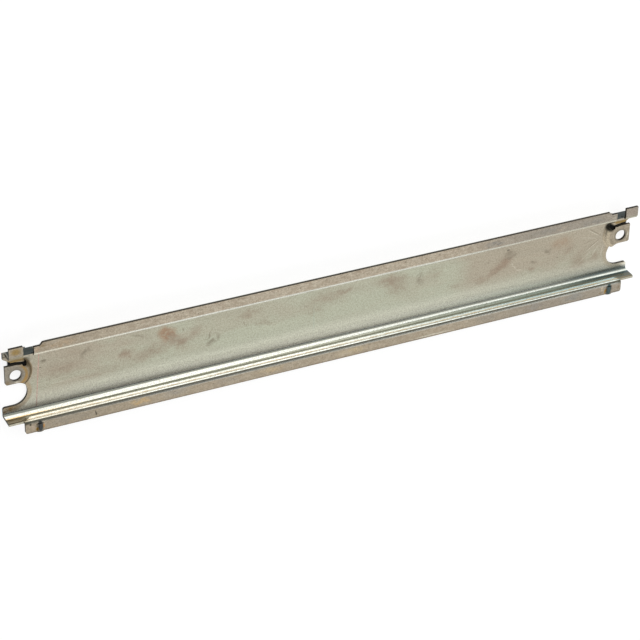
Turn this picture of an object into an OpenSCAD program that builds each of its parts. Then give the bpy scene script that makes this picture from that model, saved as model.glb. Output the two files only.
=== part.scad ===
// Mounting rail with a top-hat section, pressed from one piece of zinc-plated steel sheet.
// It lies on the back of its web: +X runs along the rail, +Y across it towards the side
// with the screw pads, and +Z is the open side that devices clip on to.
// Both ends are formed alike, so each end feature is placed from the end of the ears.

/* [Section] */
// Overall width across both flanges
rail_w = 35; // [30:0.5:45]
// Depth from the back of the web to the front of the flanges
rail_depth = 7.5; // [7:0.5:15]
// Width of the channel between the walls
channel_w = 25; // [24:0.5:26]
// Sheet thickness
sheet = 1; // [0.8:0.1:1.2]
// Inside radius of the bends between wall and flange
flange_bend = 0.8; // [0.3:0.1:1]
// Inside radius of the bends between web and wall
web_bend = 1; // [0.5:0.1:1.2]
// Outside radius of the bends between web and wall
web_edge = 0.6; // [0.4:0.1:0.9]

/* [Length] */
// Overall length over the ears
rail_l = 245; // [150:1:1000]
// Distance from the ear's end to the end of the lower flange
flange_inset = 5.5; // [5:0.1:6]

/* [Screw pads] */
// Distance from the ear's end to the middle of the screw hole
hole_inset = 4.5; // [4.2:0.1:4.8]
// Height of the screw holes above the middle of the web
hole_y = 3.7; // [3.4:0.1:4]
// Diameter of the screw holes
hole_d = 4.2; // [3:0.1:5]
// Distance from the ear's end to the end of the pad
pad_inset = 0.75; // [0.5:0.05:1]
// Distance from the hole's middle to the pad's lower edge
pad_below = 3.2; // [3:0.1:3.4]
// Distance from the hole's middle to the pad's upper edge
pad_above = 4.1; // [3.9:0.1:4.3]
// How far the pads stand forward of the web
pad_lift = 1.75; // [1.2:0.05:2]
// Radius of the flat disc round a screw hole
disc_r = 4.4; // [4.2:0.1:4.6]
// Width of the curved step round that disc
step_w = 2; // [1.8:0.1:2.4]

/* [Strips above the pads] */
// Width of the slit between a pad and the strip above it
slit_w = 1.3; // [0.8:0.1:1.5]
// Length of the slit's flared mouth
mouth_l = 3.1; // [2:0.1:4]
// How much wider the slit is at its mouth
mouth_flare = 2; // [1:0.1:2.2]
// Distance from the ear's end to the middle of the rounding at the slit's inner end
slit_inset = 7.9; // [7.6:0.1:8.2]
// Radius of that rounding
slit_r = 0.9; // [0.7:0.1:1]
// Distance from the ear's end to the foot of the strip's step
strip_step_inset = 8.8; // [8.6:0.1:9.6]
// Distance from the ear's end to the end of the strip
strip_inset = 0.2; // [0.1:0.05:0.5]
// How far the wall's root stands forward of the strip beyond the tab
root_h = 0.4; // [0.3:0.1:0.6]
// Distance from the ear's end to the inner end of the slot behind the upper wall
back_slot_inset = 16; // [14:0.5:20]
// Width of that slot in the web
back_slot_w = 1.5; // [1:0.1:2]
// Depth of that slot in the wall, from the back of the web
back_slot_h = 2.25; // [2:0.05:2.6]

/* [Locating notches] */
// Height of the ear below the notch, measured on the web
ear_w = 3; // [2.5:0.1:3.5]
// Length of the notch from the end of the ear
notch_l = 9; // [8.5:0.1:9.5]
// Radius of the notch's inner end
notch_r = 5; // [4.8:0.1:5.2]
// Radius where the notch runs into the pad's lower edge
notch_top_r = 3.5; // [3.2:0.1:3.8]
// Distance from the ear's end to the middle of that radius
notch_top_inset = 5; // [4.8:0.1:5.4]
// Radius of the corners of ears, pads and flanges
corner_r = 0.8; // [0.2:0.1:1]

/* [Flange ends] */
// Distance from the ear's end to the end of the wide upper flange
wide_inset = 13; // [12.8:0.1:14]
// How much the upper flange steps in beyond that
flange_step = 1.1; // [0.5:0.1:1.5]
// Length of the slope at that step
slope_l = 1; // [0.5:0.1:1.5]
// Length of the narrow stub, from the start of the slope
stub_l = 3.2; // [2.5:0.1:3.6]
// Distance from the ear's end to the outer end of the square tab
tab_inset = 1; // [0.8:0.1:1.2]
// Length of the square tab
tab_l = 5; // [4.5:0.1:5.5]
// How much of the upper wall's front is cut off between stub and tab
upper_trim = 0.8; // [0.3:0.1:1.2]
// How much of the lower wall's front is cut off beyond the flange
lower_trim = 0.9; // [0.3:0.1:1.2]
// Distance from the ear's end to the middle of the stop rib
rib_inset = 10.7; // [10:0.1:12]
// Width of the stop rib on the lower flange
rib_w = 2.6; // [1.5:0.1:3]
// Height of the stop rib
rib_h = 0.5; // [0.2:0.1:0.7]

/* [Hidden] */

$fn = 64;
// Overshoot of a cut past the face it goes through
past = 1;
// Overlap of the curved steps with the flats beside them
lap = 0.2;

half_w = rail_w / 2;
half_l = rail_l / 2;
wall_in = channel_w / 2;
wall_out = wall_in + sheet;
flange_edge = flange_bend + sheet;
flange_back = rail_depth - sheet;
flange_end = half_l - flange_inset;

hole_x = half_l - hole_inset;
pad_end = half_l - pad_inset;
pad_low = hole_y - pad_below;
pad_high = hole_y + pad_above;
pad_top = pad_lift + sheet;

step_end_r = disc_r + step_w;
// How much is cut flat from the crown of a step's bends, so that they meet the flats in a fine crease
crease = 0.02;
// Height between the crowns of those bends
step_h = pad_lift + 2 * crease;
// Radius of the sheet's middle in them
step_bend = (step_w * step_w + step_h * step_h) / (4 * step_h);
// Their centres, in the step's profile
step_top = [0, pad_lift + sheet / 2 + crease - step_bend];
step_foot = [step_w, sheet / 2 - crease + step_bend];

slit_high = pad_high + slit_w;
mouth_x = half_l - mouth_l;
slit_x = half_l - slit_inset;
slit_y = pad_high + slit_w / 2 - slit_r;
strip_end = half_l - strip_inset;
strip_step_x = half_l - strip_step_inset;
strip_x = strip_step_x + step_w;
strip_low = pad_high + slit_w / 4;
back_slot_x = half_l - back_slot_inset;

notch_low = -wall_in + ear_w;
notch_x = half_l - notch_l + notch_r;
notch_y = notch_low + notch_r;
notch_top_y = pad_low - notch_top_r;
notch_top_x = half_l - notch_top_inset;

stub_start = half_l - wide_inset;
stub_end = stub_start + stub_l;
tab_end = half_l - tab_inset;
tab_start = tab_end - tab_l;

colour = [0.66, 0.65, 0.57];

// The piece between a square corner at the origin and an arc of radius r
module corner_piece(r) {
    difference() {
        square(r);
        translate([r, r]) circle(r);
    }
}

// Upper half of the top-hat section, with its web raised by lift
module half_section(lift) {
    difference() {
        union() {
            translate([0, lift]) square([wall_out, sheet]);
            translate([wall_in, lift]) square([sheet, rail_depth - lift]);
            translate([wall_in, flange_back]) square([half_w - wall_in, sheet]);
            translate([wall_in, lift + sheet]) mirror([1, 0]) corner_piece(web_bend);
            translate([wall_out, flange_back]) mirror([0, 1]) corner_piece(flange_bend);
        }
        translate([wall_out, lift]) mirror([1, 0]) corner_piece(web_edge);
        translate([wall_in, rail_depth]) mirror([0, 1]) corner_piece(flange_edge);
    }
}

// Area below one side of a step: r is the radius of its upper bend there, and level its raised height
module below_step(r, level) {
    difference() {
        intersection() {
            union() {
                translate(step_top) circle(r);
                polygon([[0, 0], step_top, step_foot, [step_w, 0]]);
            }
            square([step_w, level]);
        }
        difference() {
            translate(step_foot) circle(2 * step_bend - r);
            translate([0, -past]) square([step_w, past + level - pad_lift]);
        }
    }
}

// Profile of a step from the raised level at x = 0 down to the web at x = step_w
module step_profile() {
    difference() {
        below_step(step_bend + sheet / 2, pad_top);
        below_step(step_bend - sheet / 2, pad_lift);
    }
    translate([-lap, pad_lift]) square([2 * lap, sheet]);
    translate([step_w - lap, 0]) square([2 * lap, sheet]);
}

// A section drawn in Y and Z, run along X from x0 to x1
module along_x(x0, x1) {
    translate([x0, 0, 0]) rotate([90, 0, 90]) linear_extrude(x1 - x0) children();
}

// A plan drawn in X and Y, run through the heights z0 to z1
module upright(z0, z1) {
    translate([0, 0, z0]) linear_extrude(z1 - z0) children();
}

// A box given by its two corners
module block(low, high) {
    translate(low) cube(high - low);
}

// Plan of the notch between the ear and the screw pad
module notch_plan() {
    translate([notch_x, notch_y]) circle(notch_r);
    translate([notch_top_x, notch_top_y]) circle(notch_top_r);
    translate([notch_x, notch_low]) square([notch_l, pad_low - notch_low]);
    translate([notch_top_x, notch_y]) square([notch_l, pad_low - notch_y]);
}

// Plan of the slit above the screw pad, with its rounded inner end and its flared mouth
module slit_plan() {
    difference() {
        polygon([
            [slit_x, slit_y],
            [slit_x, slit_y + slit_r],
            [hole_x, slit_high],
            [mouth_x, slit_high],
            [half_l, slit_high + mouth_flare],
            [half_l, pad_high],
            [hole_x, pad_high],
            [hole_x, slit_y],
        ]);
        translate([hole_x, hole_y]) circle(pad_above);
    }
    translate([slit_x, slit_y]) circle(slit_r);
}

// Plan of the flat pad, as far as the middle of the slit
module pad_plan() {
    intersection() {
        translate([hole_x, hole_y]) circle(disc_r);
        translate([hole_x - disc_r, notch_y]) square([disc_r, strip_low - notch_y]);
    }
    translate([hole_x, notch_y]) square([pad_end - hole_x, strip_low - notch_y]);
}

// Plan of the web that gives way to the raised end
module web_room_plan() {
    intersection() {
        translate([hole_x, hole_y]) circle(step_end_r);
        translate([hole_x - step_end_r, notch_y]) square([step_end_r, strip_low - notch_y]);
    }
    translate([hole_x, notch_y]) square([half_l - hole_x + past, wall_in - notch_y]);
    translate([strip_step_x, strip_low]) square([half_l - strip_step_x + past, wall_in - strip_low]);
}

// The curved step round the flat disc of a pad
module pad_step() {
    intersection() {
        translate([hole_x, hole_y, 0]) rotate_extrude() translate([disc_r, 0]) step_profile();
        block([hole_x - 2 * step_end_r, notch_y, -past], [hole_x, strip_low, rail_depth]);
    }
}

// The curved step at the inner end of a strip
module strip_step() {
    translate([strip_x, wall_in, 0]) rotate([90, 0, 0])
        linear_extrude(wall_in - strip_low) mirror([1, 0]) step_profile();
}

// Everything at one end that stands forward of the web
module raised_end() {
    upright(pad_lift, pad_top) pad_plan();
    pad_step();
    strip_step();
    intersection() {
        along_x(strip_x, strip_end) half_section(pad_lift);
        union() {
            block([strip_x, strip_low, 0], [strip_end, wall_out, pad_top + root_h]);
            block([strip_x, wall_in - web_bend, 0], [tab_end, half_w, rail_depth]);
        }
    }
}

// Cuts at one end that make room for the raised pad, strip, wall and tab
module room_for_raised_end() {
    upright(-past, pad_top) web_room_plan();
    block([back_slot_x, wall_in - back_slot_w, -past], [strip_x, wall_out + past, back_slot_h]);
    block([strip_x, wall_in - back_slot_w, -past], [half_l + past, half_w + past, rail_depth + past]);
}

// Cuts through one finished end: notch, slit, hole, flange ends and trimmed walls
module end_cuts() {
    upright(-past, flange_back) {
        notch_plan();
        translate([hole_x, hole_y]) circle(hole_d / 2);
    }
    upright(-past, pad_top + root_h + past) slit_plan();
    // Upper flange: the step, then the gap between stub and tab
    upright(flange_back - past, rail_depth + past) polygon([
        [stub_start, half_w + past],
        [stub_start, half_w],
        [stub_start + slope_l, half_w - flange_step],
        [stub_end + past, half_w - flange_step],
        [stub_end + past, half_w + past],
    ]);
    block([stub_end, wall_out, flange_back - past], [tab_start, half_w + past, rail_depth + past]);
    block([stub_end, wall_in - past, rail_depth - upper_trim], [tab_start, half_w, rail_depth + past]);
    // Lower flange end and the trimmed front of the wall beyond it
    block([flange_end, -half_w - past, flange_back - past], [half_l + past, -wall_out, rail_depth + past]);
    block([flange_end, -half_w, rail_depth - lower_trim], [half_l + past, -wall_in + past, rail_depth + past]);
    // Rounded corners of the ear, the pad and the lower flange
    upright(-past, flange_back) translate([half_l, notch_low]) rotate(180) corner_piece(corner_r);
    upright(-past, flange_back) translate([pad_end, pad_low]) mirror([1, 0]) corner_piece(corner_r);
    upright(flange_back - past, rail_depth + past)
        translate([flange_end, -half_w]) mirror([1, 0]) corner_piece(corner_r);
}

// The low rib across the lower flange that stops a device sliding off
module stop_rib() {
    rib_r = (rib_w * rib_w / 4 + rib_h * rib_h) / (2 * rib_h);
    intersection() {
        translate([half_l - rib_inset, -wall_in - flange_edge, rail_depth + rib_h - rib_r])
            rotate([90, 0, 0]) cylinder(r = rib_r, h = half_w - wall_in - flange_edge);
        block([0, -half_w, flange_back + sheet / 2], [half_l, 0, rail_depth + rib_h]);
    }
}

// Both ends, the left one mirrored
module both_ends() {
    children();
    mirror([1, 0, 0]) children();
}

module rail() {
    color(colour) difference() {
        union() {
            difference() {
                along_x(-half_l, half_l) {
                    half_section(0);
                    mirror([1, 0]) half_section(0);
                }
                both_ends() room_for_raised_end();
            }
            both_ends() raised_end();
            both_ends() stop_rib();
        }
        both_ends() end_cuts();
    }
}

rail();
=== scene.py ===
"""Looks of a pressed top-hat mounting rail, lying on its back on a white studio floor.

The scene is in metres. The materials work in millimetres, in the rail's own frame: x along
the rail, y across it towards the screw pads, z out of its open side. The rail's CAD mesh is
shown as it is, and all that is seen on it comes from one procedural material.
"""
import math
from types import SimpleNamespace

import bpy
from mathutils import Matrix, Vector

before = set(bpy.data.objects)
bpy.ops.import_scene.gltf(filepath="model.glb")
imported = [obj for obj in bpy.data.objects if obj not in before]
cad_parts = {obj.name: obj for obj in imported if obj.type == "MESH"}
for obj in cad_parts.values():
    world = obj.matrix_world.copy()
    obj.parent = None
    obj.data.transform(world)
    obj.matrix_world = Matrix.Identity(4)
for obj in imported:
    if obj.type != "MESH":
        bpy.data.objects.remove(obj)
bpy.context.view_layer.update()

MM = 0.001
MM_IN_M = (1000, 1000, 1000)

# ---------------------------------------------------------------- camera
# The photograph's view, fitted to the edges of the rail. Turns are in degrees and pixels are
# those of the whole frame. The rail's point TARGET_MM falls on the pixel TARGET_PX.
VIEW_TURN = 26.118
VIEW_TILT = 31.916
VIEW_ROLL = 1.324
FOCAL_PX = 2534.347
SCALE_PX_PER_MM = 2.843
TARGET_PX = (338.165, 316.855)
TARGET_MM = Vector((0, 0, 7.5))
MIDDLE_PX = 319.5
FRAME_PX = 640
SENSOR_MM = 36
CLIP_M = (0.01, 20)


def make_camera():
    """Puts the camera where the photograph was taken from, as seen from the rail."""
    turn, tilt, roll = (math.radians(a) for a in (VIEW_TURN, VIEW_TILT, VIEW_ROLL))
    back = Vector((
        -math.sin(turn) * math.cos(tilt),
        math.sin(tilt),
        math.cos(turn) * math.cos(tilt),
    ))
    level = Vector((math.cos(turn), 0, math.sin(turn)))
    rise = back.cross(level)
    right = level * math.cos(roll) + rise * math.sin(roll)
    up = rise * math.cos(roll) - level * math.sin(roll)
    eye = (
        TARGET_MM
        - right * ((TARGET_PX[0] - MIDDLE_PX) / SCALE_PX_PER_MM)
        + up * ((TARGET_PX[1] - MIDDLE_PX) / SCALE_PX_PER_MM)
        + back * (FOCAL_PX / SCALE_PX_PER_MM)
    ) * MM
    data = bpy.data.cameras.new("camera")
    data.sensor_width = SENSOR_MM
    data.lens = SENSOR_MM * FOCAL_PX / FRAME_PX
    data.clip_start, data.clip_end = CLIP_M
    cam = bpy.data.objects.new("camera", data)
    rows = [[right[i], up[i], back[i], eye[i]] for i in range(3)]
    cam.matrix_world = Matrix(rows + [[0, 0, 0, 1]])
    bpy.context.scene.collection.objects.link(cam)
    bpy.context.scene.camera = cam


# ---------------------------------------------------------------- colours and nodes
def linear(r, g, b):
    """An sRGB colour, 0 to 255, as Blender's linear RGBA."""
    def one(v):
        v /= 255
        return v / 12.92 if v <= 0.04045 else ((v + 0.055) / 1.055) ** 2.4

    return (one(r), one(g), one(b), 1)


def grey(level):
    """A grey of this linear level."""
    return (level, level, level, 1)


class Graph:
    """A short way to write node trees: nearly every call returns an output socket."""

    def __init__(self, tree):
        self.tree = tree
        tree.nodes.clear()

    def node(self, kind, inputs=(), **settings):
        """Adds a node; inputs maps its sockets to sockets or plain values."""
        n = self.tree.nodes.new(kind)
        for key, value in settings.items():
            setattr(n, key, value)
        for key, value in dict(inputs).items():
            self.put(n.inputs[key], value)
        return n

    def put(self, socket, value):
        if isinstance(value, bpy.types.NodeSocket):
            self.tree.links.new(value, socket)
        else:
            socket.default_value = value

    def math(self, op, a, b=0.0, clamp=False):
        n = self.node("ShaderNodeMath", {0: a, 1: b}, operation=op, use_clamp=clamp)
        return n.outputs[0]

    def chain(self, op, values):
        """One two-input sum after the other, over any number of values."""
        out = values[0]
        for v in values[1:]:
            out = self.math(op, out, v)
        return out

    def mul(self, *values):
        return self.chain("MULTIPLY", values)

    def add(self, *values):
        return self.chain("ADD", values)

    def most(self, *values):
        return self.chain("MAXIMUM", values)

    def inv(self, a):
        return self.math("SUBTRACT", 1.0, a)

    def vector(self, op, *values):
        """A vector sum; a dot product and a length come out as numbers."""
        n = self.node("ShaderNodeVectorMath", enumerate(values), operation=op)
        return n.outputs["Value" if op in ("DOT_PRODUCT", "LENGTH") else "Vector"]

    def join(self, **parts):
        return self.node("ShaderNodeCombineXYZ", parts).outputs[0]

    def split(self, vector):
        return self.node("ShaderNodeSeparateXYZ", {"Vector": vector}).outputs

    def stretch(self, vector, scale, offset=(0, 0, 0)):
        return self.vector("MULTIPLY_ADD", vector, scale, offset)

    def ramp(self, value, low, high, to_low=0.0, to_high=1.0):
        """Smooth step of value from low to high; low may be above high."""
        flip = low > high
        n = self.node("ShaderNodeMapRange", interpolation_type="SMOOTHSTEP")
        self.put(n.inputs["Value"], value)
        self.put(n.inputs["From Min"], high if flip else low)
        self.put(n.inputs["From Max"], low if flip else high)
        self.put(n.inputs["To Min"], to_high if flip else to_low)
        self.put(n.inputs["To Max"], to_low if flip else to_high)
        return n.outputs["Result"]

    def band(self, value, low, high, soft):
        """1 between low and high, fading over soft on both sides of each limit."""
        rise = self.ramp(value, low - soft, low + soft)
        return self.mul(rise, self.ramp(value, high + soft, high - soft))

    def blend(self, share, a, b, kind="FLOAT"):
        """Goes from the number a to the number b as share goes from 0 to 1."""
        n = self.node("ShaderNodeMix", {"Factor": share, "A": a, "B": b}, data_type=kind)
        return n.outputs["Result"]

    def mix(self, share, a, b):
        """The same with two colours."""
        return self.blend(share, a, b, "RGBA")

    def noise(self, vector, scale, detail=2.0, rough=0.5, warp=0.0, output="Fac"):
        n = self.node("ShaderNodeTexNoise", {"Vector": vector}, noise_dimensions="3D")
        n.inputs["Scale"].default_value = scale
        n.inputs["Detail"].default_value = detail
        n.inputs["Roughness"].default_value = rough
        n.inputs["Distortion"].default_value = warp
        return n.outputs[output]

    def distance(self, a, b, to):
        """How far the point (a, b) is from the point to, in a plane."""
        return self.vector("LENGTH", self.join(X=self.add(a, -to[0]), Y=self.add(b, -to[1])))


# ---------------------------------------------------------------- palette
GREEN_ZINC = linear(186, 189, 169)
BROWN_ZINC = linear(178, 169, 151)
PALE_ZINC = linear(198, 201, 183)
SMUDGE = linear(150, 130, 112)
RUST = linear(164, 132, 106)
SCUFF = linear(132, 124, 108)
LIGHT = linear(214, 208, 190)
DARK = linear(34, 33, 28)
TEAL_REFLECTION = linear(36, 70, 80)
GOLD = linear(160, 122, 44)
UMBER = linear(128, 106, 70)

WEB_NEAR_WALL = linear(238, 238, 220)
WEB_AT_WALL = linear(255, 254, 240)
DRAW_LINE = linear(206, 156, 148)
NOTCH_RIM = linear(172, 148, 116)

FLANGE_PALE = linear(196, 186, 167)
FLANGE_BROWN = linear(174, 161, 142)
FLANGE_RIGHT = linear(156, 150, 140)
FLANGE_LEFT = linear(162, 151, 132)
FLANGE_LOWER = linear(162, 148, 126)
FLANGE_SPECK = linear(112, 103, 86)
FLANGE_EDGE_SHADE = linear(84, 76, 62)

PAD_PALE = linear(176, 166, 148)
PAD_BROWN = linear(152, 142, 124)
PAD_LEFT = linear(146, 140, 128)
PAD_RING = linear(162, 130, 72)
HOLE_RIM = linear(104, 100, 92)
STRIP_LIP = linear(140, 112, 42)
STRIP_TIP = linear(126, 124, 114)
SLIT_GAP_SHADE = linear(14, 16, 14)
STEP_RIGHT_HIGHLIGHT = linear(194, 182, 158)
STEP_LEFT_SHADE = linear(150, 132, 100)
STEP_FOOT_SHADE = linear(120, 104, 84)
SLIT_END_SHADE = linear(10, 22, 24)

WALL_BRIGHT = linear(216, 217, 208)
WALL_STREAK = linear(200, 202, 192)
WALL_GOLD = linear(206, 168, 104)
WALL_WARM = linear(208, 186, 146)
WALL_COOL_SHADE = linear(124, 142, 141)
WALL_TEAL_REFLECTION = linear(30, 66, 78)
WALL_DARK_REFLECTION = linear(104, 108, 98)
WALL_END_RIGHT = linear(92, 98, 88)
WALL_END_LEFT = linear(120, 111, 84)
UPPER_BEND_SHADE = linear(186, 181, 163)
GILT_LINE = linear(150, 134, 104)
CREASE_SHADE = linear(96, 101, 95)
LOWER_BEND_SHADE = linear(46, 50, 44)

GRIME = linear(116, 106, 90)
FINE_GRIME = linear(100, 92, 78)
GAP_BACK_SHADE = linear(44, 54, 54)
GAP_BACK_TIP_SHADE = linear(120, 118, 108)
CORNER_SHADE = linear(8, 10, 10)
CUT_EDGE = linear(50, 46, 38)

# ---------------------------------------------------------------- marks on the zinc
# Each row is an ellipse: x, y, half length, half width, turn in degrees, edge, strength and
# colour. It has its full strength up to the share edge of its half sizes, and ends at MARK_RIM.
MARK_RIM = 1.15

# Soft, with edges broken up by the noise
WEB_MARKS = [
    (-62.2, 5.2, 4.8, 3.6, -20, 0.1, 0.5, RUST),
    (-61.0, 3.4, 3.2, 2.0, -60, 0.1, 0.3, SMUDGE),
    (-68.5, -0.6, 9.5, 3.8, 12, 0.0, 0.34, SMUDGE),
    (-58.0, 0.8, 5.6, 3.2, -25, 0.1, 0.36, SMUDGE),
    (-77.6, 0.8, 3.4, 2.2, 10, 0.1, 0.36, SMUDGE),
    (-73.0, 7.2, 3.6, 1.2, 0, 0.1, 0.3, SCUFF),
    (-52.0, 3.0, 4.5, 2.2, 50, 0.0, 0.2, SMUDGE),
    (-100.6, 0.6, 9.0, 4.2, 8, 0.0, 0.26, SMUDGE),
    (-95.0, 6.4, 6.0, 2.4, 0, 0.0, 0.16, SMUDGE),
    (-92.4, 5.2, 1.4, 2.9, -22, 0.1, 0.36, SCUFF),
    (-88.0, -4.0, 14.0, 2.2, 2, 0.0, 0.12, SMUDGE),
    (-107.2, 6.0, 1.2, 0.9, 0, 0.2, 0.4, SCUFF),
    (-46.4, -2.6, 3.4, 1.0, 20, 0.3, 0.34, SCUFF),
    (-43.6, -0.2, 1.8, 1.2, 75, 0.3, 0.34, SCUFF),
    (-46.8, 0.4, 2.6, 0.8, 58, 0.3, 0.3, SCUFF),
    (-31.6, 5.6, 6.5, 2.2, 6, 0.0, 0.26, SMUDGE),
    (-26.0, 0.6, 5.0, 1.4, -8, 0.0, 0.18, SMUDGE),
    (-1.6, 4.8, 12.0, 4.0, 4, 0.0, 0.22, SMUDGE),
    (5.4, 5.8, 3.4, 1.4, 10, 0.0, 0.24, SMUDGE),
    (-6.0, 0.4, 6.0, 2.0, 0, 0.0, 0.16, SMUDGE),
    (24.6, 5.4, 9.0, 4.0, -8, 0.0, 0.34, SMUDGE),
    (26.0, 1.4, 5.6, 2.4, 0, 0.0, 0.24, SMUDGE),
    (35.6, 3.8, 2.0, 4.0, 0, 0.0, 0.3, SCUFF),
    (41.0, 4.0, 5.0, 3.0, 0, 0.0, 0.18, SMUDGE),
    (70.2, 2.6, 6.0, 3.0, 36, 0.0, 0.4, SMUDGE),
    (72.8, 5.2, 3.4, 2.2, 10, 0.1, 0.36, SCUFF),
    (66.4, -0.4, 5.6, 2.2, 30, 0.1, 0.28, SMUDGE),
    (60.6, -3.0, 4.0, 1.8, 0, 0.0, 0.2, SMUDGE),
    (94.0, 5.2, 5.6, 3.4, 10, 0.0, 0.28, RUST),
    (88.2, 2.8, 1.8, 1.4, 0, 0.2, 0.36, SCUFF),
    (81.8, 0.0, 1.7, 0.8, 0, 0.2, 0.44, SCUFF),
    (81.8, -3.4, 2.2, 1.2, 0, 0.1, 0.28, SMUDGE),
    (101.6, -4.6, 5.4, 4.0, 20, 0.0, 0.3, SMUDGE),
    (108.6, -3.8, 2.4, 2.2, 0, 0.0, 0.3, SMUDGE),
    (97.0, 1.0, 4.0, 2.4, 40, 0.0, 0.2, SMUDGE),
    (50.0, -2.2, 4.0, 2.6, 0, 0.0, 0.12, SMUDGE),
]
# Small and sharp: dots, scratches and the fan of lines beside the right pad
WEB_LINES = [
    (-108.7, 3.5, 0.4, 0.26, 0, 0.3, 0.7, DARK),
    (-105.0, 9.0, 0.3, 0.3, 0, 0.3, 0.4, DARK),
    (-33.5, 2.2, 0.3, 1.0, 15, 0.3, 0.5, SCUFF),
    (-32.7, 1.3, 0.25, 0.6, 30, 0.3, 0.5, SCUFF),
    (-9.6, 3.2, 0.3, 0.4, 0, 0.3, 0.5, SCUFF),
    (71.3, 7.2, 0.7, 0.5, 20, 0.3, 0.6, DARK),
    (92.4, -0.8, 0.5, 0.4, 0, 0.3, 0.7, SCUFF),
    (63.2, 3.8, 0.5, 0.4, 0, 0.3, 0.5, SCUFF),
    (-56.4, 5.4, 0.35, 0.9, 25, 0.3, 0.5, SCUFF),
    (-63.4, -8.8, 0.6, 0.4, 0, 0.3, 0.5, SCUFF),
    (74.6, -1.0, 2.2, 0.22, -50, 0.3, 0.55, LIGHT),
    (76.6, -2.4, 1.6, 0.22, -10, 0.3, 0.55, LIGHT),
    (73.4, 0.6, 1.4, 0.2, -70, 0.3, 0.4, LIGHT),
    (40.2, -3.4, 2.6, 0.2, 24, 0.3, 0.4, LIGHT),
    (-6.5, -4.0, 0.1, 9.0, 0, 0.3, 0.3, linear(150, 200, 200)),
    (-104.0, -2.6, 7.0, 0.16, 4, 0.3, 0.35, LIGHT),
    (-98.0, -4.0, 9.0, 0.2, 0, 0.3, 0.3, LIGHT),
    (107.0, 1.1, 4.2, 0.2, 34, 0.3, 0.65, SCUFF),
    (107.2, 0.6, 4.2, 0.18, 34, 0.3, 0.7, LIGHT),
    (107.6, 6.6, 4.0, 0.2, -36, 0.3, 0.65, SCUFF),
    (107.4, 6.1, 4.0, 0.18, -36, 0.3, 0.7, LIGHT),
    (105.6, 4.4, 4.4, 0.18, -14, 0.3, 0.6, LIGHT),
    (106.4, 3.0, 4.2, 0.18, 10, 0.3, 0.5, SCUFF),
    (108.6, -1.4, 3.4, 0.2, 58, 0.3, 0.6, LIGHT),
    (104.0, -3.6, 4.6, 0.2, 40, 0.3, 0.5, LIGHT),
    (111.4, -2.0, 0.3, 3.2, -8, 0.3, 0.4, LIGHT),
    (109.4, -6.2, 5.0, 0.2, 24, 0.3, 0.35, LIGHT),
]
# Soft, on both flanges
FLANGE_MARKS = [
    (-100.0, -15.3, 14.0, 1.8, 0, 0.3, 0.35, linear(152, 146, 134)),
    (-75.0, -15.2, 4.6, 1.6, 0, 0.1, 0.6, linear(204, 174, 126)),
    (-62.0, -15.0, 6.0, 1.8, 0, 0.2, 0.35, linear(158, 156, 150)),
    (-42.0, -15.6, 6.0, 1.4, 0, 0.2, 0.3, linear(158, 154, 146)),
    (-26.0, -15.2, 6.0, 1.3, 0, 0.2, 0.4, linear(204, 184, 148)),
    (6.0, -15.4, 7.0, 1.5, 0, 0.2, 0.4, linear(206, 188, 150)),
    (60.0, -15.2, 6.0, 1.8, 0, 0.2, 0.35, linear(156, 152, 142)),
    (80.0, -15.2, 5.0, 1.6, 0, 0.2, 0.35, linear(150, 150, 146)),
    (97.0, -15.4, 6.0, 1.7, 0, 0.2, 0.4, linear(146, 150, 148)),
    (62.0, 15.3, 4.5, 0.9, 0, 0.2, 0.5, linear(132, 132, 130)),
    (84.0, 15.6, 12.0, 1.4, 0, 0.2, 0.3, linear(146, 144, 138)),
    (90.0, 15.5, 3.0, 0.6, 0, 0.2, 0.5, linear(190, 176, 158)),
    (103.0, 15.2, 6.0, 1.5, 0, 0.2, 0.4, linear(138, 138, 134)),
    (-104.0, 15.6, 7.0, 1.4, 0, 0.2, 0.3, linear(190, 160, 124)),
    (-54.0, 16.6, 5.0, 0.7, 0, 0.2, 0.4, linear(160, 148, 128)),
]
# Sharp, on both flanges and the square tabs: scratches, golden spots, and the stop ribs,
# which are drawn only as a painted golden highlight beside a painted dark teal shade
FLANGE_LINES = [
    (38.0, -16.7, 10.0, 0.35, 0, 0.3, 0.7, linear(226, 222, 204)),
    (-91.6, -15.6, 0.3, 1.4, 14, 0.3, 0.8, DARK),
    (-115.2, -14.1, 0.45, 0.45, 0, 0.4, 0.95, DARK),
    (-111.7, -15.3, 0.95, 2.3, 0, 0.7, 0.95, linear(38, 54, 64)),
    (-112.9, -16.3, 0.5, 1.0, -10, 0.4, 0.95, GOLD),
    (-110.5, -15.6, 0.45, 1.0, 0, 0.4, 0.8, linear(196, 140, 60)),
    (-114.4, -15.4, 0.7, 1.2, 0, 0.2, 0.35, linear(206, 184, 166)),
    (111.7, -15.4, 1.0, 2.4, -8, 0.75, 0.95, linear(50, 82, 88)),
    (110.3, -16.0, 0.5, 1.4, -14, 0.4, 0.9, GOLD),
    (108.9, -14.8, 0.6, 1.4, 0, 0.2, 0.5, linear(226, 214, 184)),
    (108.2, -16.4, 1.0, 0.5, 0, 0.3, 0.5, UMBER),
    (116.0, -15.6, 0.5, 0.9, -20, 0.3, 0.5, UMBER),
    (-119.1, 16.0, 2.3, 1.7, 0, 0.3, 0.85, linear(156, 128, 68)),
    (-119.0, 14.3, 2.6, 0.6, 0, 0.3, 0.5, linear(150, 148, 138)),
    (118.8, 15.8, 2.4, 1.8, 0, 0.2, 0.35, linear(176, 160, 150)),
    (-111.6, 15.2, 1.2, 1.2, 0, 0.2, 0.45, linear(196, 164, 134)),
    (-109.6, 16.2, 1.4, 0.8, 0, 0.2, 0.6, UMBER),
    (111.6, 15.0, 1.2, 1.0, 0, 0.2, 0.3, LIGHT),
]
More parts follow.
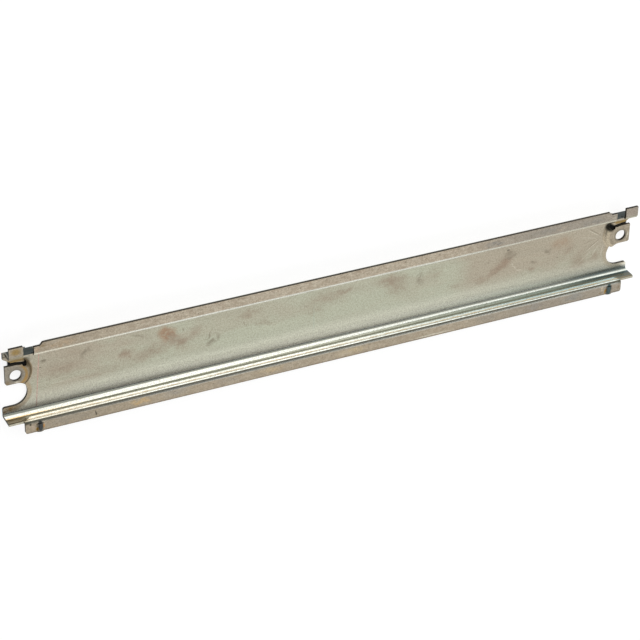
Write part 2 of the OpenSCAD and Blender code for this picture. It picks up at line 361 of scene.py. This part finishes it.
# Sharp, on the screw pads; beside the right hole, a painted highlight arc and a painted shade at
# the hole's edge
PAD_MARKS = [
    (-121.0, 1.2, 1.4, 1.4, 0, 0.1, 0.6, UMBER),
    (-114.4, 1.6, 1.0, 2.2, -20, 0.2, 0.6, linear(170, 132, 74)),
    (-117.6, 1.0, 1.2, 0.4, 0, 0.3, 0.8, LIGHT),
    (120.9, 3.4, 0.35, 1.7, -8, 0.3, 0.85, LIGHT),
    (118.9, 2.4, 0.4, 1.4, -30, 0.3, 0.6, DARK),
    (117.6, 1.0, 2.6, 0.35, 10, 0.3, 0.5, linear(190, 176, 152)),
]


def field(g, place, marks, color, mask):
    """Lays elliptical marks over a colour; place is the vector (x, y, 1).

    Two dot products give a point's place in the ellipse. They need no change between
    colours, vectors and numbers, which keeps the marks' nodes one after the other: with too
    many values waiting at once, the renderer draws the whole material black.
    """
    for x, y, half_l, half_w, turn, edge, strength, tint in marks:
        c, s = math.cos(math.radians(turn)), math.sin(math.radians(turn))
        long_axis = (c / half_l, s / half_l, -(c * x + s * y) / half_l)
        short_axis = (-s / half_w, c / half_w, (s * x - c * y) / half_w)
        a, b = (g.vector("DOT_PRODUCT", place, axis) for axis in (long_axis, short_axis))
        far = g.vector("LENGTH", g.join(X=a, Y=b))
        share = g.mul(g.ramp(far, MARK_RIM, edge, 0.0, strength), mask)
        color = g.mix(share, color, tint)
    return color


# ---------------------------------------------------------------- the steel
FLANGE_TOP = 7.5
# Points that both ends share, as distance from the rail's middle, and y
HOLE = (118, 3.7)
NOTCH = (118.5, -4.5)
SLIT_END = (113.7, 7.6)
# Dots of painted corner shade in the two recesses of the upper wall, as x and z
CORNER_SHADE_SPOTS = [(-112.9, 6.3), (116.1, 5.5)]
# In the photograph, a millimetre up in z looks like this much less in y
Z_AS_Y = 0.694
# A thin line across the left end leans by this much x for each y
DRAW_LEAN = 0.083
# The noise shifts the soft marks by up to this much each way
WANDER = 2.3
# What is added to the unit normal's z where it leans upwards
LEAN_BAND_LOW = 0.7
LEAN_BAND_HIGH = 0.62
LEAN_UPPER_BEND = 3.0
LEAN_RIGHT_STEP = 2.5
BUMP_STRENGTH = 0.3
BUMP_DISTANCE_M = 0.00004
DULL_ROUGHNESS = 0.55
FLANGE_ROUGHNESS = 0.44
WEB_ROUGHNESS = 0.4
WALL_ROUGHNESS = 0.2


def find_surfaces(g):
    """Position, normal and a mask, 0 to 1, for each kind of surface of the rail."""
    at = SimpleNamespace()
    coord = g.node("ShaderNodeTexCoord")
    at.facing = g.node("ShaderNodeNewGeometry").outputs["Normal"]
    at.pos = g.stretch(coord.outputs["Object"], MM_IN_M)
    at.x, at.y, at.z = g.split(at.pos)
    _, at.ny, nz = g.split(coord.outputs["Normal"])
    side, at.end = g.math("ABSOLUTE", at.y), g.math("ABSOLUTE", at.x)
    tall, across = g.math("ABSOLUTE", nz), g.math("ABSOLUTE", at.ny)
    at.left, at.right = g.ramp(at.x, 0, -1), g.ramp(at.x, 0, 1)
    at.lower = g.ramp(at.y, 0, -1)

    # Faces that look up, by height: flanges, pads with their strips, and the web
    up = g.ramp(nz, 0.3, 0.7)
    at.flange = g.mul(g.ramp(at.z, 7.0, 7.35), up)
    at.low = g.mul(g.ramp(at.z, 3.4, 3.0), up)
    at.pad = g.mul(g.ramp(at.z, 2.2, 2.6), at.low)
    at.web = g.math("SUBTRACT", at.low, at.pad)

    # Sheet that was bent: the walls, and the bends above and below them
    at.wall = g.mul(g.band(side, 12.3, 13.7, 0.05), g.ramp(across, 0.35, 0.8))
    bend = g.mul(
        g.band(side, 12.45, 14.35, 0.05),
        g.band(at.z, 5.6, 7.46, 0.1),
        g.ramp(across, 0.05, 0.3),
    )
    at.root = g.mul(
        g.band(side, 11.4, 12.6, 0.05),
        g.band(at.z, 0.98, 2.1, 0.05),
        g.ramp(across, 0.03, 0.2),
    )
    at.formed = g.most(at.wall, bend, at.root)
    # Faces that look into the channel
    at.inside = g.ramp(g.mul(at.y, at.ny), 0, -4)

    # The curved step round each pad, and all that was cut
    at.near_hole = g.distance(at.end, at.y, HOLE)
    at.near_notch = g.distance(at.end, at.y, NOTCH)
    at.step = g.mul(
        g.band(at.near_hole, 4.2, 6.6, 0.05),
        g.ramp(nz, 0.02, 0.1),
        g.band(at.z, 0.9, 2.72, 0.04),
        g.ramp(at.end, 117.8, 117.0),
    )
    at.cut = g.mul(g.ramp(tall, 0.2, 0.08), g.inv(at.formed), g.inv(at.step))

    # The y at which the photograph shows a point of the lower side, on the flanges' plane
    at.seen_y = g.add(g.mul(side, -1.0), g.mul(at.z, -Z_AS_Y), Z_AS_Y * FLANGE_TOP)
    return at


def add_noises(g, at):
    """Noise fields, and the places at which the soft and the sharp marks are laid."""
    warp = g.noise(at.pos, 0.35, 4, output="Color")
    shift = g.stretch(warp, (2 * WANDER, 2 * WANDER, 0), (-WANDER, -WANDER, 0))
    flat = g.stretch(at.pos, (1, 1, 0), (0, 0, 1))
    # The sharp place is taken back from the soft one, so that fewer values wait at once
    at.soft_place = g.vector("ADD", flat, shift)
    at.sharp_place = g.vector("SUBTRACT", at.soft_place, shift)
    at.streaks = g.noise(g.stretch(at.pos, (0.02, 1.4, 1.4)), 1.6, 3, 0.6)
    at.clouds = g.noise(g.stretch(at.pos, (0.4, 1, 1)), 0.12, 3, 0.55, 0.6)
    at.mottle = g.noise(g.stretch(at.pos, (0.7, 1, 1)), 0.55, 5, 0.68, 0.8)
    at.grain = g.noise(at.pos, 1.9, 3, 0.7)
    at.fine = g.noise(at.pos, 5.0, 2, 0.6)
    at.pepper = g.ramp(g.noise(g.stretch(at.pos, (1, 1, 1), (40, 7, 3)), 1.3), 0.7, 0.78)


def web_color(g, at):
    """Green in the middle, browner at both ends, paler near the lower wall."""
    brown = g.add(
        g.ramp(at.x, -40, -105, 0, 0.62),
        g.ramp(at.x, 46, 60, 0, 0.85),
        g.ramp(at.clouds, 0.3, 0.7, -0.25, 0.3),
        g.ramp(at.y, -2, 4, -0.1, 0.14),
    )
    color = g.mix(g.math("ADD", brown, 0.1, clamp=True), GREEN_ZINC, BROWN_ZINC)
    pale = g.mul(g.ramp(at.y, -1, -8, 0, 0.6), g.ramp(at.end, 112, 70, 0.3, 1.0))
    color = g.mix(pale, color, PALE_ZINC)
    color = g.mix(g.ramp(at.streaks, 0.35, 0.7, 0.0, 0.08), color, PALE_ZINC)
    broken = g.mul(at.web, g.ramp(at.mottle, 0.34, 0.6, 0.9, 2.1))
    color = field(g, at.soft_place, WEB_MARKS, color, broken)
    color = field(g, at.sharp_place, WEB_LINES, color, at.web)
    color = g.mix(g.mul(at.pepper, at.web, 0.3), color, SCUFF)

    # Lighter towards the lower wall, to make up for its dark reflection there
    near_wall = g.mul(g.ramp(at.y, -4.5, -9.5, 0, 0.84), at.web, g.ramp(at.x, 40, 90, 1.0, 0.6))
    color = g.mix(near_wall, color, WEB_NEAR_WALL)
    at_wall = g.mul(g.ramp(at.y, -8.4, -10.4), g.ramp(at.x, 60, 100, 1.0, 0.6), at.web)
    color = g.mix(at_wall, color, WEB_AT_WALL)

    # A thin pink line across the left end, a tan rim round each notch, a golden left ear
    line = g.add(at.x, g.mul(at.y, -DRAW_LEAN))
    color = g.mix(g.mul(g.band(line, -109.85, -109.5, 0.13), at.web, 0.62), color, DRAW_LINE)
    rim = g.mul(g.band(at.near_notch, 4.9, 6.5, 0.5), at.web, g.ramp(at.x, 0, 1, 0.6, 0.3))
    color = g.mix(rim, color, NOTCH_RIM)
    ear = g.mul(
        g.ramp(at.x, -115, -120),
        g.band(at.y, -12.0, -8.8, 0.8),
        at.web,
        g.ramp(at.mottle, 0.35, 0.6, 0.2, 0.9),
    )
    return g.mix(ear, color, GOLD)


def flange_color(g, at):
    """Mottled brown-grey, greyer to the right, browner on the lower flange."""
    color = g.mix(g.ramp(at.mottle, 0.36, 0.66), FLANGE_PALE, FLANGE_BROWN)
    color = g.mix(g.ramp(at.x, 40, 80, 0, 0.75), color, FLANGE_RIGHT)
    color = g.mix(g.ramp(at.x, -60, -100, 0, 0.45), color, FLANGE_LEFT)
    color = g.mix(g.mul(at.lower, g.ramp(at.x, 30, 80, 0.42, 0.25)), color, FLANGE_LOWER)
    broken = g.mul(at.flange, g.ramp(at.mottle, 0.34, 0.6, 0.5, 1.6))
    color = field(g, at.soft_place, FLANGE_MARKS, color, broken)
    speck = g.ramp(g.noise(g.stretch(at.pos, (1, 1, 1), (11, 3, 8)), 1.1, 3, 0.6), 0.6, 0.7)
    color = g.mix(g.mul(g.most(at.pepper, speck), 0.65), color, FLANGE_SPECK)
    # Painted shade along the lower flange's outer edge
    return g.mix(g.ramp(at.y, -16.8, -17.3, 0, 0.4), color, FLANGE_EDGE_SHADE)


def pad_color(g, at):
    """The screw pads and the strips above them."""
    color = g.mix(g.ramp(at.mottle, 0.36, 0.66), PAD_PALE, PAD_BROWN)
    color = g.mix(g.mul(at.left, g.ramp(at.y, 9.0, 7.0), 0.8), color, PAD_LEFT)
    # A golden ring on the inner side of the left pad
    ring = g.mul(
        g.band(at.near_hole, 3.4, 4.4, 0.3),
        at.left,
        g.ramp(g.add(at.end, g.mul(at.y, 0.2)), 119.0, 116.0),
    )
    color = g.mix(g.mul(ring, 0.8), color, PAD_RING)
    # The strip's lower edge is golden, and below it the pad is painted black, a painted shade
    # standing for the slit's dark gap
    lip = g.mul(g.band(at.y, 9.0, 10.0, 0.35), g.ramp(at.end, 112, 114))
    color = g.mix(g.mul(lip, 0.85), color, STRIP_LIP)
    slit = g.mul(g.band(at.y, 7.9, 8.75, 0.12), g.ramp(at.end, 112.6, 113.2))
    color = g.mix(g.mul(slit, 0.97), color, SLIT_GAP_SHADE)
    tip = g.mul(at.left, g.ramp(at.y, 11.0, 12.0), g.ramp(at.end, 120.6, 121.4))
    color = g.mix(g.mul(tip, 0.7), color, STRIP_TIP)
    color = g.mix(g.mul(g.band(at.near_hole, 2.0, 2.7, 0.15), 0.5), color, HOLE_RIM)
    return field(g, at.sharp_place, PAD_MARKS, color, at.pad)


def color_steps(g, at, color):
    """Painted highlight and shade on the steps round the pads, and painted shade at the slits'
    inner ends, whose mask is returned too.
    """
    # Painted highlight on the right step and painted shade on the left one, with a line of
    # painted shade at the left step's foot
    color = g.mix(g.mul(at.step, 0.85), color, g.mix(at.left, STEP_RIGHT_HIGHLIGHT, STEP_LEFT_SHADE))
    foot = g.mul(g.band(at.near_hole, 6.0, 6.5, 0.2), at.left, at.low)
    color = g.mix(g.mul(foot, 0.5), color, STEP_FOOT_SHADE)
    # Painted dark shade at the slits' inner ends, deep at the right and faint at the left
    slit_end_shade = g.ramp(g.distance(at.end, at.y, SLIT_END), 2.1, 0.9)
    by_end = g.most(g.mul(at.right, 0.96), g.mul(at.left, 0.35))
    share = g.mul(slit_end_shade, by_end, g.most(at.step, at.low))
    return g.mix(share, color, SLIT_END_SHADE), slit_end_shade


def wall_color(g, at):
    """Burnished bright, warm at the left, teal and darker at the right.

    Painted dark reflection lines run in the crease, halfway up the wall and on the outside of
    the lower bend.
    At the right, a painted teal reflection and painted shade darken the wall and the upper
    bend's highlight;
    both ends are darker above z 4.
    The mask of the upper bend's inner side is returned as well.
    """
    color = g.mix(g.ramp(at.streaks, 0.3, 0.7), WALL_BRIGHT, WALL_STREAK)
    gold = g.mul(g.ramp(at.x, -90, -119), g.band(at.z, 3.2, 4.4, 0.3), 0.8)
    color = g.mix(gold, color, WALL_GOLD)
    warm = g.mul(g.ramp(at.x, -60, -116), g.ramp(at.z, 4.4, 5.0), 0.3)
    color = g.mix(warm, color, WALL_WARM)
    # Painted shade: the wall's reflection dims and cools towards the right end
    cool_shade = g.mul(
        g.ramp(at.x, -30, 104),
        g.ramp(at.z, 1.8, 3.0, 0.35, 0.95),
        g.ramp(at.z, 6.4, 6.9, 1.0, 0.12),
        at.lower,
    )
    color = g.mix(cool_shade, color, WALL_COOL_SHADE)
    # A painted dark teal reflection on the lower wall at the right end
    teal = g.mul(g.ramp(at.x, 90, 112), g.band(at.z, 2.7, 4.5, 0.35), 0.85, at.lower)
    color = g.mix(teal, color, WALL_TEAL_REFLECTION)
    # A painted dark reflection line halfway up the wall
    color = g.mix(g.mul(g.band(at.z, 3.9, 4.7, 0.25), at.wall, 0.9), color, WALL_DARK_REFLECTION)
    # Darker at both ends, above z 4
    darker_wall_ends = g.mul(g.ramp(at.end, 114.6, 117.0), g.ramp(at.z, 4.0, 4.4), 0.85)
    color = g.mix(darker_wall_ends, color, g.mix(at.left, WALL_END_RIGHT, WALL_END_LEFT))
    # The upper bend's highlight is painted duller towards the right, a painted shade
    upper_bend = g.mul(at.formed, at.inside, g.ramp(at.z, 6.0, 6.4), g.ramp(at.y, 0, 1))
    color = g.mix(g.mul(upper_bend, g.ramp(at.x, 40, 90, 0.0, 0.8)), color, UPPER_BEND_SHADE)
    gilt = g.mul(g.band(at.seen_y, -11.85, -11.4, 0.1), g.ramp(at.mottle, 0.38, 0.6, 0.45, 0.95))
    color = g.mix(gilt, color, GILT_LINE)
    # A painted dark reflection line in the crease
    crease = g.mul(
        g.ramp(at.seen_y, -7.15, -7.45),
        g.ramp(g.add(at.seen_y, g.ramp(at.x, -50, -110, 0.0, 0.25)), -8.4, -8.1),
        0.95,
    )
    color = g.mix(crease, color, CREASE_SHADE)
    # Painted shade on the outside of the lower bend, where its highlight stops
    lower_bend = g.mul(g.band(at.seen_y, -13.3, -12.5, 0.12), at.lower, 0.97)
    return g.mix(lower_bend, color, LOWER_BEND_SHADE), upper_bend


def finish_color(g, at, color):
    """Sharp marks and grain, then painted shade on the upper wall's back at the gaps, then the
    cut edges.
    """
    color = field(g, at.sharp_place, FLANGE_LINES, color, at.flange)
    color = g.mix(g.ramp(at.grain, 0.38, 0.66, 0.0, 0.34), color, GRIME)
    color = g.mix(g.ramp(at.fine, 0.42, 0.66, 0.0, 0.26), color, FINE_GRIME)
    # Painted dark teal shade on the upper wall's back where it shows in the gaps, lighter at the
    # tip, and dots of painted corner shade
    back = g.mul(g.ramp(at.end, 109.5, 112.2), g.ramp(at.y, 13.2, 13.4), g.ramp(at.ny, 0.4, 0.7))
    tint = g.mul(back, 0.96)
    color = g.mix(tint, color, g.mix(g.ramp(at.end, 120.8, 121.2), GAP_BACK_SHADE, GAP_BACK_TIP_SHADE))
    corner_shade_mask = g.most(*(g.ramp(g.distance(at.x, at.z, shade_spot), 0.6, 0.3) for shade_spot in CORNER_SHADE_SPOTS))
    color = g.mix(g.mul(corner_shade_mask, back), color, CORNER_SHADE)
    return g.mix(g.mul(at.cut, 0.92), color, CUT_EDGE)


def steel_roughness(g, at, slit_end_shade):
    rough = g.blend(at.flange, WEB_ROUGHNESS, FLANGE_ROUGHNESS)
    rough = g.blend(at.formed, rough, WALL_ROUGHNESS)
    rough = g.add(
        rough,
        g.ramp(at.streaks, 0.3, 0.7, -0.04, 0.04),
        g.ramp(at.grain, 0.3, 0.7, -0.03, 0.05),
    )
    return g.blend(g.most(at.cut, slit_end_shade), rough, DULL_ROUGHNESS)


def leaning_normal(g, at, upper_bend):
    """The shading normal, which leans upwards where the photographed sheet mirrors a lamp.

    This is a device of shading, not a shape. It stands in for the burnishing that gives the
    lower wall two bright bands, and the upper bend and the right pad's step a bright line.
    The lean is 30 to 35 degrees on the wall, and up to 70 on the bend and the step.
    """
    # The lower band narrows from left to right
    narrowing = g.add(at.z, g.ramp(at.x, -110, 100, -0.3, 1.1))
    belly = g.add(
        g.mul(g.ramp(at.z, 1.35, 1.85), g.ramp(narrowing, 3.95, 3.3), LEAN_BAND_LOW),
        g.mul(g.band(at.z, 4.95, 6.3, 0.2), g.ramp(at.end, 118, 114), LEAN_BAND_HIGH),
    )
    lean = g.add(
        g.mul(belly, at.formed, at.inside, at.lower),
        g.mul(upper_bend, LEAN_UPPER_BEND),
        g.mul(at.step, at.right, LEAN_RIGHT_STEP),
    )
    return g.vector("NORMALIZE", g.vector("ADD", at.facing, g.join(Z=lean)))


def steel_material():
    """One material for the whole rail.

    Nodes are worked out in the order in which they are made here, and only so many values
    can wait at once, so the parts stay in this order.
    """
    mat = bpy.data.materials.new("zinc_steel")
    mat.use_nodes = True
    g = Graph(mat.node_tree)
    at = find_surfaces(g)
    add_noises(g, at)

    color = web_color(g, at)
    color = g.mix(at.flange, color, flange_color(g, at))
    color = g.mix(at.pad, color, pad_color(g, at))
    color, slit_end_shade = color_steps(g, at, color)
    bright, upper_bend = wall_color(g, at)
    color = g.mix(at.formed, color, bright)
    # A painted teal reflection over the lowest part of the web, towards the right end
    teal = g.mul(
        g.ramp(at.x, 88, 112),
        g.band(at.seen_y, -8.0, -6.4, 0.6),
        g.most(at.web, at.root),
        0.66,
    )
    color = finish_color(g, at, g.mix(teal, color, TEAL_REFLECTION))

    rough = steel_roughness(g, at, slit_end_shade)
    normal = leaning_normal(g, at, upper_bend)
    height = g.add(
        g.mul(at.grain, 0.5),
        g.mul(at.fine, 0.25),
        g.mul(at.streaks, 0.3),
        g.mul(at.mottle, 0.4),
    )
    bump = g.node("ShaderNodeBump", {"Height": height, "Normal": normal})
    bump.inputs["Strength"].default_value = BUMP_STRENGTH
    bump.inputs["Distance"].default_value = BUMP_DISTANCE_M

    shader = g.node(
        "ShaderNodeBsdfPrincipled",
        {"Base Color": color, "Roughness": rough, "Normal": bump.outputs[0]},
    )
    shader.inputs["Metallic"].default_value = 1.0
    g.node("ShaderNodeOutputMaterial", {"Surface": shader.outputs[0]})
    return mat


# ---------------------------------------------------------------- stage
WHITE = grey(1)
# The floor that the camera and mirrors see glows nearly white, and its matt share keeps the
# rail's shadow; for all other light it is plain
FLOOR_GLOW = 0.84
FLOOR_MATT = grey(0.25)
FLOOR_PLAIN = grey(0.8)
FLOOR_HALF_M = 4.0
FLOOR_DROP_M = 0.00005
# The floor under the raised ends, behind the slits, is painted dark, a painted shadow where
# hardly any light reaches; in millimetres
SLIT_LEFT_X = (-119.9, -108)
SLIT_RIGHT_X = (110, 121.8)
SLIT_Y = (4.8, 9.6)
SLIT_SOFT = 0.3
SLIT_SHADE = 0.01
SLIT_MATT = grey(0.004)
# The world's strength falls between these two heights, as sines of the elevation
SKY_HEIGHTS = (0.12, 0.5)
SKY_STRENGTHS = (1.0, 0.3)
# Lamps: name, azimuth, elevation, distance, width, height, radiance
LAMPS = [
    ("fill", -55, 52, 1.4, 1.8, 1.25, 1.02),
    ("key", 68, 30, 1.2, 1.25, 1.5, 1.65),
]


def floor_material():
    mat = bpy.data.materials.new("floor_white")
    mat.use_nodes = True
    g = Graph(mat.node_tree)
    path = g.node("ShaderNodeLightPath")
    rays = ("Is Camera Ray", "Is Glossy Ray", "Is Transmission Ray")
    seen = g.most(*(path.outputs[ray] for ray in rays))
    plain = g.node("ShaderNodeBsdfDiffuse", {"Color": FLOOR_PLAIN})
    matt = g.node("ShaderNodeBsdfDiffuse")
    pos = g.stretch(g.node("ShaderNodeTexCoord").outputs["Object"], MM_IN_M)
    x, y, _ = g.split(pos)
    under = g.mul(
        g.most(g.band(x, *SLIT_LEFT_X, SLIT_SOFT), g.band(x, *SLIT_RIGHT_X, SLIT_SOFT)),
        g.band(y, *SLIT_Y, SLIT_SOFT),
    )
    lit = g.blend(under, 1.0, SLIT_SHADE)
    g.put(matt.inputs["Color"], g.mix(under, FLOOR_MATT, SLIT_MATT))
    strength = g.mul(lit, FLOOR_GLOW)
    glow = g.node("ShaderNodeEmission", {"Color": WHITE, "Strength": strength})
    white = g.node("ShaderNodeAddShader", {0: matt.outputs[0], 1: glow.outputs[0]})
    mixed = g.node("ShaderNodeMixShader", {0: seen, 1: plain.outputs[0], 2: white.outputs[0]})
    g.node("ShaderNodeOutputMaterial", {"Surface": mixed.outputs[0]})
    return mat


def make_floor():
    half = FLOOR_HALF_M
    corners = [(-half, -half, 0), (half, -half, 0), (half, half, 0), (-half, half, 0)]
    mesh = bpy.data.meshes.new("floor")
    mesh.from_pydata(corners, [], [(0, 1, 2, 3)])
    mesh.materials.append(floor_material())
    floor = bpy.data.objects.new("floor", mesh)
    floor.location.z = -FLOOR_DROP_M
    bpy.context.scene.collection.objects.link(floor)


def make_world():
    """A pale ring at the horizon that darkens upwards, as round a studio table."""
    world = bpy.data.worlds.new("studio")
    world.use_nodes = True
    g = Graph(world.node_tree)
    look = g.node("ShaderNodeTexCoord")
    height = g.split(look.outputs["Generated"])["Z"]
    strength = g.ramp(height, *SKY_HEIGHTS, *SKY_STRENGTHS)
    sky = g.node("ShaderNodeBackground", {"Color": WHITE, "Strength": strength})
    g.node("ShaderNodeOutputWorld", {"Surface": sky.outputs[0]})
    bpy.context.scene.world = world


def softbox(name, azimuth, elevation, distance, width, height, radiance):
    """A rectangular lamp that looks at the rail; azimuth is measured from +X towards +Y."""
    a, e = math.radians(azimuth), math.radians(elevation)
    aim = Vector((math.cos(a) * math.cos(e), math.sin(a) * math.cos(e), math.sin(e)))
    place = aim * distance
    data = bpy.data.lights.new(name, "AREA")
    data.shape = "RECTANGLE"
    data.size, data.size_y = width, height
    data.energy = radiance * math.pi * width * height
    lamp = bpy.data.objects.new(name, data)
    lamp.location = place
    lamp.rotation_mode = "QUATERNION"
    lamp.rotation_quaternion = (-place).to_track_quat("-Z", "Y")
    lamp.visible_camera = False
    bpy.context.scene.collection.objects.link(lamp)


make_camera()
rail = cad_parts["rail"]
rail.data.materials.clear()
rail.data.materials.append(steel_material())
make_floor()
make_world()
for lamp in LAMPS:
    softbox(*lamp)

scene = bpy.context.scene
scene.view_settings.view_transform = "Standard"
